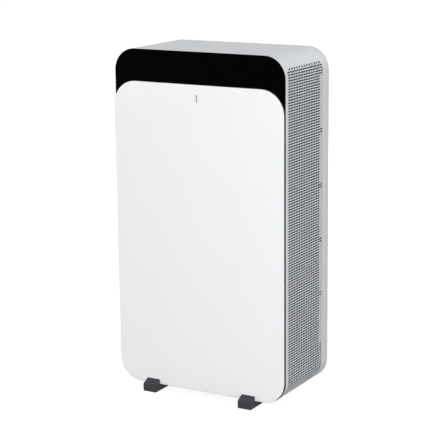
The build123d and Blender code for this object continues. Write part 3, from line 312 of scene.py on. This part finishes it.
def buildCasing():
    edge = casingShape["frontEdge"]
    wall = casingShape["wall"]
    start = casingShape["edgeShare"] * edge
    rolled = [(casingFront + start, start), (casingFront, edge)]  # the sheet's rounded front edge
    places = [casingFront + edge, holesFront, endFront, endBack, holesBack, casingBack]  # where cells meet
    stations = wrapStations()
    lastRow, lastColumn = len(stations) - 2, len(places) - 2
    bm = bmesh.new()

    def corner(side, along, y, inset):
        x, z = wrapPoint(along, inset)
        return bm.verts.new((side * x * mm, y * mm, z * mm))

    def closed(i, j):  # cells left open take the perforated sheets
        if i < 0 or i > lastRow:
            return True
        if j < 0 or j > lastColumn:
            return False
        middle = (stations[i] + stations[i + 1]) / 2
        punched = (1, 2, 3) if middle < rowsHigh else (2,)  # the short slots' row is narrower
        return not (rowsLow < middle < endHigh and j in punched)

    for side in (1, -1):
        outer = [[corner(side, along, y, 0) for y in places] for along in stations]
        inner = [[corner(side, along, y, wall) for y in places] for along in stations]
        front = [[corner(side, along, y, inset) for y, inset in rolled + [(casingFront, wall)]]
                 for along in stations]
        for i in range(lastRow + 1):
            lip = [outer, front, front, front, inner]
            index = [0, 0, 1, 2, 0]
            for k in range(4):
                a, b = lip[k], lip[k + 1]
                m, n = index[k], index[k + 1]
                bm.faces.new((a[i][m], b[i][n], b[i + 1][n], a[i + 1][m]))
            for j in range(lastColumn + 1):
                if not closed(i, j):
                    continue
                for grid in (outer, inner):
                    bm.faces.new((grid[i][j], grid[i][j + 1], grid[i + 1][j + 1], grid[i + 1][j]))
                rims = [((i - 1, j), (i, j), (i, j + 1)), ((i + 1, j), (i + 1, j), (i + 1, j + 1)),
                        ((i, j + 1), (i, j + 1), (i + 1, j + 1))]
                if j:
                    rims.append(((i, j - 1), (i, j), (i + 1, j)))
                for beside, (a, m), (b, n) in rims:
                    if not closed(*beside):
                        bm.faces.new((outer[a][m], outer[b][n], inner[b][n], inner[a][m]))
    bmesh.ops.remove_doubles(bm, verts=bm.verts, dist=weldDistance)
    bmesh.ops.delete(bm, geom=[v for v in bm.verts if not v.link_faces], context="VERTS")
    bmesh.ops.recalc_face_normals(bm, faces=bm.faces)
    return standFor(meshObject("casingWrap", bm, powderCoat), "housing", "casing_paint", "casing_wrap")


buildCasing()
print("casing built")


def runTree(name, tree, lengths, others, points=None):  # lengths in millimetres
    values = {key: length * mm for key, length in lengths.items()} | others
    mesh = bpy.data.meshes.new(name)
    if points:
        mesh.from_pydata(points, [], [])
    piece = bpy.data.objects.new(name, mesh)
    bpy.context.scene.collection.objects.link(piece)
    modifier = piece.modifiers.new("shape", "NODES")
    modifier.node_group = tree
    for item in tree.interface.items_tree:
        if item.item_type == "SOCKET" and item.in_out == "INPUT" and item.name in values:
            modifier[item.identifier] = values[item.name]
    return bake(piece)


def newTree(name, numbers=(), counts=(), points=False):
    tree = bpy.data.node_groups.new(name, "GeometryNodeTree")
    if points:
        tree.interface.new_socket("Points", in_out="INPUT", socket_type="NodeSocketGeometry")
    for socket in numbers:
        tree.interface.new_socket(socket, in_out="INPUT", socket_type="NodeSocketFloat")
    for socket in counts:
        tree.interface.new_socket(socket, in_out="INPUT", socket_type="NodeSocketInt")
    tree.interface.new_socket("Material", in_out="INPUT", socket_type="NodeSocketMaterial")
    tree.interface.new_socket("Geometry", in_out="OUTPUT", socket_type="NodeSocketGeometry")
    return tree, addNode(tree, "NodeGroupInput").outputs


def closeTree(tree, geometry, material):
    real = addNode(tree, "GeometryNodeRealizeInstances", {0: geometry})
    dressed = addNode(tree, "GeometryNodeSetMaterial", {"Geometry": real.outputs[0], "Material": material})
    addNode(tree, "NodeGroupOutput", {0: dressed.outputs[0]})
    return tree


def punchedRows(tree, column, row, columns, rows, length, height, corner):
    # one tile with a rounded slot left open, set out on a grid; column and row are the first tile's middle
    columnPitch, rowPitch = columns[1], rows[1]
    edge = addNode(tree, "GeometryNodeCurvePrimitiveQuadrilateral", {"Width": columnPitch,
                                                                     "Height": rowPitch})
    slot = addNode(tree, "GeometryNodeCurvePrimitiveQuadrilateral", {"Width": length, "Height": height})
    rounded = addNode(tree, "GeometryNodeFilletCurve", {"Curve": slot.outputs[0], "Radius": corner,
                                                        "Count": 2}, mode="POLY")
    both = addNode(tree, "GeometryNodeJoinGeometry", {0: edge.outputs[0]})
    tree.links.new(rounded.outputs[0], both.inputs[0])
    tile = addNode(tree, "GeometryNodeFillCurve", {"Curve": both.outputs[0]})
    start = addNode(tree, "ShaderNodeCombineXYZ", {"X": column, "Y": row})
    across = addNode(tree, "ShaderNodeCombineXYZ", {"X": columnPitch})
    up = addNode(tree, "ShaderNodeCombineXYZ", {"Y": rowPitch})
    line = addNode(tree, "GeometryNodeMeshLine", {"Count": columns[0], "Start Location": start.outputs[0],
                                                  "Offset": across.outputs[0]})
    stack = addNode(tree, "GeometryNodeMeshLine", {"Count": rows[0], "Offset": up.outputs[0]})
    strip = addNode(tree, "GeometryNodeInstanceOnPoints", {"Points": line.outputs[0],
                                                           "Instance": tile.outputs[0]})
    return addNode(tree, "GeometryNodeInstanceOnPoints", {"Points": stack.outputs[0],
                                                          "Instance": strip.outputs[0]}).outputs[0]


def perforatedTree():
    tree, given = newTree("perforatedSheet",
                          ("Column Pitch", "Row Pitch", "Slot Length", "Slot Height", "Slot Corner",
                           "First Column", "First Row", "End Tile", "End Length", "End Height", "End Column",
                           "End Row", "Low Bend", "High Bend", "Radius", "Flat Half"),
                          ("Columns", "Rows", "End Columns"))
    one = addNode(tree, "FunctionNodeInputInt", integer=1).outputs[0]
    main = punchedRows(tree, given["First Column"], given["First Row"],
                       (given["Columns"], given["Column Pitch"]), (given["Rows"], given["Row Pitch"]),
                       given["Slot Length"], given["Slot Height"], given["Slot Corner"])
    ending = punchedRows(tree, given["End Column"], given["End Row"],
                         (given["End Columns"], given["Column Pitch"]), (one, given["End Tile"]),
                         given["End Length"], given["End Height"], given["Slot Corner"])
    joined = addNode(tree, "GeometryNodeJoinGeometry", {0: main})
    tree.links.new(ending, joined.inputs[0])
    real = addNode(tree, "GeometryNodeRealizeInstances", {0: joined.outputs[0]})
    merged = addNode(tree, "GeometryNodeMergeByDistance", {0: real.outputs[0], "Distance": weldDistance})
    # the flat sheet's height runs on round the corners
    spot = addNode(tree, "GeometryNodeInputPosition").outputs[0]
    flat = addNode(tree, "ShaderNodeSeparateXYZ", {0: spot}).outputs
    core = addNode(tree, "ShaderNodeClamp", {"Value": flat[1], "Min": given["Low Bend"],
                                             "Max": given["High Bend"]}).outputs[0]
    past = addNode(tree, "ShaderNodeMath", {0: flat[1], 1: core}, operation="SUBTRACT").outputs[0]
    turn = addNode(tree, "ShaderNodeMath", {0: past, 1: given["Radius"]}, operation="DIVIDE").outputs[0]
    outwards = addNode(tree, "ShaderNodeMath", {0: turn}, operation="COSINE").outputs[0]
    upwards = addNode(tree, "ShaderNodeMath", {0: turn}, operation="SINE").outputs[0]
    x = addNode(tree, "ShaderNodeMath", {0: outwards, 1: given["Radius"], 2: given["Flat Half"]},
                operation="MULTIPLY_ADD").outputs[0]
    z = addNode(tree, "ShaderNodeMath", {0: upwards, 1: given["Radius"], 2: core},
                operation="MULTIPLY_ADD").outputs[0]
    target = addNode(tree, "ShaderNodeCombineXYZ", {"X": x, "Y": flat[0], "Z": z}).outputs[0]
    bent = addNode(tree, "GeometryNodeSetPosition", {"Geometry": merged.outputs[0], "Position": target})
    return closeTree(tree, bent.outputs[0], given["Material"])


def buildPerforatedSide(side, name, node):
    sizes = perforation
    lengths = {"Column Pitch": sizes["columnPitch"], "Row Pitch": sizes["rowPitch"],
               "Slot Length": sizes["slotLength"], "Slot Height": sizes["slotHeight"],
               "Slot Corner": sizes["slotCorner"], "First Column": sizes["firstColumn"],
               "First Row": sizes["firstRow"], "End Tile": sizes["endTile"],
               "End Length": sizes["endLength"], "End Height": sizes["endHeight"],
               "End Column": sizes["firstColumn"] + sizes["endOffset"], "End Row": (rowsHigh + endHigh) / 2,
               "Low Bend": lowBend, "High Bend": highBend, "Radius": casingShape["radius"],
               "Flat Half": flatHalf}
    others = {"Columns": sizes["columns"], "Rows": sizes["rows"], "End Columns": sizes["endColumns"],
              "Material": powderCoat}
    piece = runTree(name, perforatedSheet, lengths, others)
    bm = bmesh.new()
    bm.from_mesh(piece.data)
    bmesh.ops.scale(bm, vec=(side, 1, 1), verts=bm.verts)
    bmesh.ops.recalc_face_normals(bm, faces=bm.faces)
    if sum(f.normal.x * f.calc_area() for f in bm.faces) * side < 0:
        bmesh.ops.reverse_faces(bm, faces=bm.faces)
    bm.to_mesh(piece.data)
    bm.free()
    wall = piece.modifiers.new("wall", "SOLIDIFY")
    wall.thickness = sizes["wall"] * mm
    wall.offset = -1
    bake(piece)
    print(name, "faces:", len(piece.data.polygons))
    return standFor(piece, "housing", "casing_paint", node)


perforatedSheet = perforatedTree()
buildPerforatedSide(1, "perforatedSideRight", "side_grille_right")
buildPerforatedSide(-1, "perforatedSideLeft", "side_grille_left")


def roundedLoop(half, low, high, lowRadius, highRadius, inset=0.0, steps=14):
    points = []
    for side, edge, up, radius, start in ((1, low, 1, lowRadius, -90), (1, high, -1, highRadius, 0),
                                          (-1, high, -1, highRadius, 90), (-1, low, 1, lowRadius, 180)):
        for k in range(steps + 1):
            angle = math.radians(start + 90 * k / steps)
            points.append((side * (half - radius) + (radius - inset) * math.cos(angle),
                           edge + up * radius + (radius - inset) * math.sin(angle)))
    return points


def skin(bm, loops):  # joins equal loops of (x, y, z) with quads
    rings = [[bm.verts.new((x * mm, y * mm, z * mm)) for x, y, z in loop] for loop in loops]
    count = len(rings[0])
    for a, b in zip(rings, rings[1:]):
        for i in range(count):
            j = (i + 1) % count
            bm.faces.new((a[i], a[j], b[j], b[i]))
    return rings


def fillBetween(bm, loops):  # a flat face between an outer loop and the loops cut out of it
    rims = []
    for loop in loops:
        for i in range(len(loop)):
            pair = (loop[i], loop[(i + 1) % len(loop)])
            rims.append(bm.edges.get(pair) or bm.edges.new(pair))
    bmesh.ops.triangle_fill(bm, use_beauty=True, use_dissolve=False, edges=rims)


# front panel: a white skin over a grey carrier, whose grey on the sides is partly painted shade along the
# panel's edge, with a slot for the status lens
panelShape = {"lowRadius": 44.5, "highRadius": 46.5, "lift": 1.0, "edge": 1.2, "edgeSteps": 8,
              "backEdge": 0.35, "skin": 0.4, "lensGap": 0.05, "slotRadius": 0.4}


def buildPanel():
    shape = panelShape
    _, half, front, back, low, high = sides("front_panel")
    low += shape["lift"]
    edge, steps = shape["edge"], shape["edgeSteps"]
    profile = [(back, shape["backEdge"]), (back - shape["backEdge"], 0)]
    for k in range(steps + 1):
        angle = math.radians(90 * k / steps)
        profile.append((front + edge * (1 - math.sin(angle)), edge * (1 - math.cos(angle))))
    bm = bmesh.new()
    radii = shape["lowRadius"], shape["highRadius"]
    rings = skin(bm, [[(x, y, z) for x, z in roundedLoop(half, low, high, *radii, inset)]
                      for y, inset in profile])
    _, lensHalf, _, _, lensLow, lensHigh = sides("status_lens")
    gap, radius = shape["lensGap"], shape["slotRadius"]
    slot = roundedLoop(lensHalf + gap, lensLow - gap, lensHigh + gap, radius, radius, steps=3)
    slotRings = skin(bm, [[(x, y, z) for x, z in slot] for y in (back, front)])
    fillBetween(bm, [rings[0], slotRings[0]])
    fillBetween(bm, [rings[-1], slotRings[1]])
    bmesh.ops.recalc_face_normals(bm, faces=bm.faces)
    # faces behind the front skin take the dark grey: partly the carrier's colour, partly painted shade along
    # the panel's edge
    for face in bm.faces:
        face.material_index = int(face.calc_center_median().y > (front + shape["skin"]) * mm)
    panel = meshObject("frontPanel", bm, whiteAbs, carrierAndEdgeShade)
    return standFor(panel, "housing", "panel_gloss", "front_panel")


def buildPlate(name, material, slot, node, loopAt, profile):
    bm = bmesh.new()
    rings = skin(bm, [[(x, y, z) for x, z in loopAt(inset)] for y, inset in profile])
    bm.faces.new(reversed(rings[0]))
    bm.faces.new(rings[-1])
    bmesh.ops.recalc_face_normals(bm, faces=bm.faces)
    return standFor(meshObject(name, bm, material), "housing", slot, node)


# black fascia: a plate let into the casing, with a thin rim over the casing's front edge
fasciaShape = {"rim": 1.2, "rimInset": 0.15, "inset": 1.7, "thickness": 4.0, "edge": 0.15}


def fasciaLoop(inset):
    radius = casingShape["radius"]
    return roundedLoop(right, low, high, radius, radius, inset, 16)


def buildFascia():
    shape = fasciaShape
    front = sides("front_fascia")[2]
    profile = [(front + shape["thickness"], shape["inset"]), (front + shape["rim"], shape["inset"]),
               (front + shape["rim"], shape["rimInset"]), (front + shape["edge"], shape["rimInset"]),
               (front, shape["rimInset"] + shape["edge"])]
    return buildPlate("frontFascia", blackAcrylic, "fascia_gloss", "front_fascia", fasciaLoop, profile)


lensShape = {"radius": 0.35, "edge": 0.15, "edgeDepth": 0.2}


def lensLoop(inset):
    _, half, _, _, lensLow, lensHigh = sides("status_lens")
    radius = lensShape["radius"]
    return roundedLoop(half - inset, lensLow + inset, lensHigh - inset, radius, radius, steps=3)


def buildLens():
    front, back = sides("status_lens")[2:4]
    profile = [(back, 0), (front + lensShape["edgeDepth"], 0), (front, lensShape["edge"])]
    return buildPlate("statusLens", frostedLens, "lens_plastic", "status_lens", lensLoop, profile)


buildPanel()
buildFascia()
buildLens()
print("front built")


def solidBoxes(node):  # lowest and highest corner of each separate solid of a node
    bm = bmesh.new()
    bm.from_mesh(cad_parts[node].data)
    bmesh.ops.remove_doubles(bm, verts=bm.verts, dist=weldDistance)
    boxes, seen = [], set()
    for vert in bm.verts:
        if vert in seen:
            continue
        group, queue = [], [vert]
        seen.add(vert)
        while queue:
            current = queue.pop()
            group.append(current.co.copy())
            for edge in current.link_edges:
                other = edge.other_vert(current)
                if other not in seen:
                    seen.add(other)
                    queue.append(other)
        boxes.append([[pick(spot[k] for spot in group) for k in range(3)] for pick in (min, max)])
    bm.free()
    return boxes


# pan-head screws with a cross recess, millimetres; axis and end say which way the head looks
screwShapes = {
    "rear_cover_screws": {"head": 3.6, "height": 2.2, "shank": 1.9, "length": 19.8, "axis": 1, "end": 1},
    "motor_screws": {"head": 3.8, "height": 2.5, "shank": 2.0, "length": 8.0, "axis": 1, "end": 0},
    "foot_screws": {"head": 5.0, "height": 2.5, "shank": 2.5, "length": 8.0, "axis": 2, "end": 1},
}


def screwTree():
    tree, given = newTree("crossScrew", ("Head", "Height", "Shank", "Length", "Turn"), points=True)
    shares = {}  # of the head's radius and height and the shank's length
    for name, socket, share in (("crown", "Head", 0.74), ("arm", "Head", 1.15), ("slit", "Head", 0.3),
                                ("dome", "Height", 0.6), ("base", "Height", 0.4),
                                ("baseDown", "Height", -0.8), ("domeDown", "Height", -0.6),
                                ("half", "Length", -0.5)):
        shares[name] = addNode(tree, "ShaderNodeMath", {0: given[socket], 1: share},
                               operation="MULTIPLY").outputs[0]
    shankDown = addNode(tree, "ShaderNodeMath", {0: shares["half"], 1: given["Height"]},
                        operation="SUBTRACT")
    dome = addNode(tree, "GeometryNodeMeshCone", {"Vertices": 24, "Radius Top": shares["crown"],
                                                  "Radius Bottom": given["Head"], "Depth": shares["dome"]})
    domeSpot = addNode(tree, "ShaderNodeCombineXYZ", {"Z": shares["domeDown"]})
    domePlaced = addNode(tree, "GeometryNodeTransform", {"Geometry": dome.outputs[0],
                                                         "Translation": domeSpot.outputs[0]})
    recess = addNode(tree, "GeometryNodeMeshBoolean", {"Mesh 1": domePlaced.outputs[0]},
                     operation="DIFFERENCE", solver="EXACT")
    for first, second in (("arm", "slit"), ("slit", "arm")):
        size = addNode(tree, "ShaderNodeCombineXYZ", {"X": shares[first], "Y": shares[second],
                                                      "Z": given["Height"]})
        bar = addNode(tree, "GeometryNodeMeshCube", {"Size": size.outputs[0]})
        tree.links.new(bar.outputs[0], recess.inputs["Mesh 2"])
    screw = addNode(tree, "GeometryNodeJoinGeometry", {0: recess.outputs[0]})
    for radius, depth, down in ((given["Head"], shares["base"], shares["baseDown"]),
                                (given["Shank"], given["Length"], shankDown.outputs[0])):
        rod = addNode(tree, "GeometryNodeMeshCylinder", {"Vertices": 24, "Radius": radius, "Depth": depth})
        lowered = addNode(tree, "ShaderNodeCombineXYZ", {"Z": down})
        placed = addNode(tree, "GeometryNodeTransform", {"Geometry": rod.outputs[0],
                                                         "Translation": lowered.outputs[0]})
        tree.links.new(placed.outputs[0], screw.inputs[0])
    turned = addNode(tree, "ShaderNodeCombineXYZ", {"X": given["Turn"]})
    spread = addNode(tree, "GeometryNodeInstanceOnPoints", {"Points": given["Points"],
                                                            "Instance": screw.outputs[0],
                                                            "Rotation": turned.outputs[0]})
    return closeTree(tree, spread.outputs[0], given["Material"])


def buildScrews(name, node):
    shape = screwShapes[node]
    axis, end = shape["axis"], shape["end"]
    points = []
    for box in solidBoxes(node):
        point = [(a + b) / 2 for a, b in zip(*box)]
        point[axis] = box[end][axis]
        points.append(point)
    turn = 0 if axis == 2 else math.radians(90 - 180 * end)
    lengths = {"Head": shape["head"], "Height": shape["height"], "Shank": shape["shank"],
               "Length": shape["length"]}
    piece = runTree(name, crossScrew, lengths, {"Turn": turn, "Material": zincPlate}, points)
    print(name, "screws:", len(points))
    return standFor(piece, "housing", "screw_steel", node)


crossScrew = screwTree()
buildScrews("rearCoverScrews", "rear_cover_screws")
buildScrews("motorScrews", "motor_screws")
buildScrews("footScrews", "foot_screws")

# the foil of both coils, at its real spacing
finShape = {"pitch": 2.2, "thickness": 0.3}


def finTree():
    tree, given = newTree("finStack", ("Pitch", "Thickness", "Depth", "Height", "First", "Across", "Up"),
                          ("Count",))
    size = addNode(tree, "ShaderNodeCombineXYZ", {"X": given["Thickness"], "Y": given["Depth"],
                                                  "Z": given["Height"]})
    foil = addNode(tree, "GeometryNodeMeshCube", {"Size": size.outputs[0]})
    start = addNode(tree, "ShaderNodeCombineXYZ", {"X": given["First"], "Y": given["Across"],
                                                   "Z": given["Up"]})
    step = addNode(tree, "ShaderNodeCombineXYZ", {"X": given["Pitch"]})
    line = addNode(tree, "GeometryNodeMeshLine", {"Count": given["Count"], "Start Location": start.outputs[0],
                                                  "Offset": step.outputs[0]})
    spread = addNode(tree, "GeometryNodeInstanceOnPoints", {"Points": line.outputs[0],
                                                            "Instance": foil.outputs[0]})
    return closeTree(tree, spread.outputs[0], given["Material"])


def buildFins(name, node):
    x0, x1, y0, y1, z0, z1 = sides(node)
    count = int((x1 - x0 - finShape["thickness"]) / finShape["pitch"]) + 1
    first = (x0 + x1) / 2 - (count - 1) * finShape["pitch"] / 2
    lengths = {"Pitch": finShape["pitch"], "Thickness": finShape["thickness"], "Depth": y1 - y0,
               "Height": z1 - z0, "First": first, "Across": (y0 + y1) / 2, "Up": (z0 + z1) / 2}
    piece = runTree(name, finStack, lengths, {"Count": count, "Material": finFoil})
    print(name, "fins:", count)
    return standFor(piece, "housing", "fin_aluminium", node)


finStack = finTree()
buildFins("condenserFins", "condenser_fins")
buildFins("evaporatorFins", "evaporator_fins")

# edges of moulded pieces, millimetres; only those turned more than softAngle
softAngle = math.radians(40)
softEdges = {"rear_cover": 0.5, "water_tank": 0.8, "tank_lid": 0.6, "tank_handle": 0.5, "filter_frame": 0.4,
             "foot_front_left": 0.6, "foot_front_right": 0.6, "foot_rear_left": 0.6, "foot_rear_right": 0.6,
             "mains_inlet": 0.4, "drip_tray": 0.4, "tank_bay": 0.5}
for node, width in softEdges.items():
    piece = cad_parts[node]
    weld = piece.modifiers.new("weld", "WELD")
    weld.merge_threshold = weldDistance
    bevel = piece.modifiers.new("edge", "BEVEL")
    bevel.width = width * mm
    bevel.segments = 2
    bevel.limit_method = "ANGLE"
    bevel.angle_limit = softAngle
    bevel.use_clamp_overlap = True
print("edges softened:", len(softEdges))


def pictureRays(tree):  # 1 for what the camera sees, also by gloss or through glass, and 0 for other light
    ray = addNode(tree, "ShaderNodeLightPath").outputs
    seen = addNode(tree, "ShaderNodeMath", {0: ray["Is Camera Ray"], 1: ray["Is Glossy Ray"]},
                   operation="MAXIMUM")
    return addNode(tree, "ShaderNodeMath", {0: seen.outputs[0], 1: ray["Is Transmission Ray"]},
                   operation="MAXIMUM").outputs[0]


def buildFloor():
    bm = bmesh.new()
    side, front, back = studio["floorSide"], studio["floorFront"], studio["floorBack"]
    bm.faces.new([bm.verts.new((x, y, 0)) for x, y in ((-side, front), (side, front), (side, back),
                                                       (-side, back))])
    material = bpy.data.materials.new("studioFloor")
    material.use_nodes = True
    tree = material.node_tree
    tree.nodes.clear()
    seen = pictureRays(tree)
    speckle = addNode(tree, "ShaderNodeTexNoise", {"Scale": studio["speckle"]})
    tone = addNode(tree, "ShaderNodeMix", {0: speckle.outputs["Fac"], 6: hexColour(studio["floor"]),
                                           7: hexColour(studio["floorOther"])}, data_type="RGBA")
    paper = addNode(tree, "ShaderNodeBsdfDiffuse", {"Color": tone.outputs[2]})
    glow = addNode(tree, "ShaderNodeEmission", {"Strength": studio["floorGlow"]})
    shade = addNode(tree, "ShaderNodeBsdfDiffuse", {"Color": [studio["floorShade"]] * 3 + [1]})
    both = addNode(tree, "ShaderNodeAddShader", {0: glow.outputs[0], 1: shade.outputs[0]})
    mix = addNode(tree, "ShaderNodeMixShader", {0: seen, 1: paper.outputs[0], 2: both.outputs[0]})
    addNode(tree, "ShaderNodeOutputMaterial", {0: mix.outputs[0]})
    meshObject("studioFloor", bm, material)


def buildWorld():
    world = bpy.data.worlds.new("studio")
    bpy.context.scene.world = world
    world.use_nodes = True
    tree = world.node_tree
    tree.nodes.clear()
    seen = pictureRays(tree)
    soft = addNode(tree, "ShaderNodeBackground", {"Color": [1, 1, 1, 1], "Strength": studio["world"]})
    white = addNode(tree, "ShaderNodeBackground", {"Color": [1, 1, 1, 1], "Strength": 1.0})
    mix = addNode(tree, "ShaderNodeMixShader", {0: seen, 1: soft.outputs[0], 2: white.outputs[0]})
    addNode(tree, "ShaderNodeOutputWorld", {0: mix.outputs[0]})


def addLamp(name, spot, aim, size, power):
    lamp = bpy.data.lights.new(name, "AREA")
    lamp.shape = "SQUARE"
    lamp.size = size
    lamp.energy = power
    holder = bpy.data.objects.new(name, lamp)
    holder.location = spot
    holder.rotation_euler = (Vector(aim) - Vector(spot)).to_track_quat("-Z", "Y").to_euler()
    bpy.context.scene.collection.objects.link(holder)


# metres; floorGlow and floorShade are what the camera sees, floor and floorOther what the object gets back
studio = {"world": 0.555, "floor": "#404040", "floorOther": "#3C3C3C", "floorGlow": 0.92, "floorShade": 0.18,
          "floorSide": 14, "floorFront": -6, "floorBack": 22, "speckle": 40.0}
buildFloor()
buildWorld()

# metres and watts
lamps = {"keyLamp": {"spot": (0.7, -3.6, 1.0), "aim": (0, 0, 0.3), "size": 2.4, "power": 86.0},
         "fillLamp": {"spot": (3.2, -0.8, 1.2), "aim": (0, 0, 0.3), "size": 2.0, "power": 56.0},
         "backLamp": {"spot": (-0.2, 3.1, 0.8), "aim": (0, 0, 0.35), "size": 1.2, "power": 60.0},
         "leftLamp": {"spot": (-3.2, -0.8, 1.3), "aim": (0, 0, 0.35), "size": 1.8, "power": 25.0}}
for name, lamp in lamps.items():
    addLamp(name, **lamp)

# metres, degrees, and millimetres for lens and sensor
view = {"spot": (1.4030, -2.4405, 0.9705), "yaw": 29.86, "pitch": 12.91, "roll": -0.562, "lens": 120.97,
        "sensor": 36}
camera = bpy.data.cameras.new("camera")
camera.lens = view["lens"]
camera.sensor_width = view["sensor"]
holder = bpy.data.objects.new("camera", camera)
holder.matrix_world = (Matrix.Translation(view["spot"]) @ Matrix.Rotation(math.radians(view["yaw"]), 4, "Z")
                       @ Matrix.Rotation(math.radians(90 - view["pitch"]), 4, "X")
                       @ Matrix.Rotation(math.radians(view["roll"]), 4, "Z"))
bpy.context.scene.collection.objects.link(holder)
bpy.context.scene.camera = holder
bpy.context.scene.view_settings.view_transform = "Standard"
print("studio built")
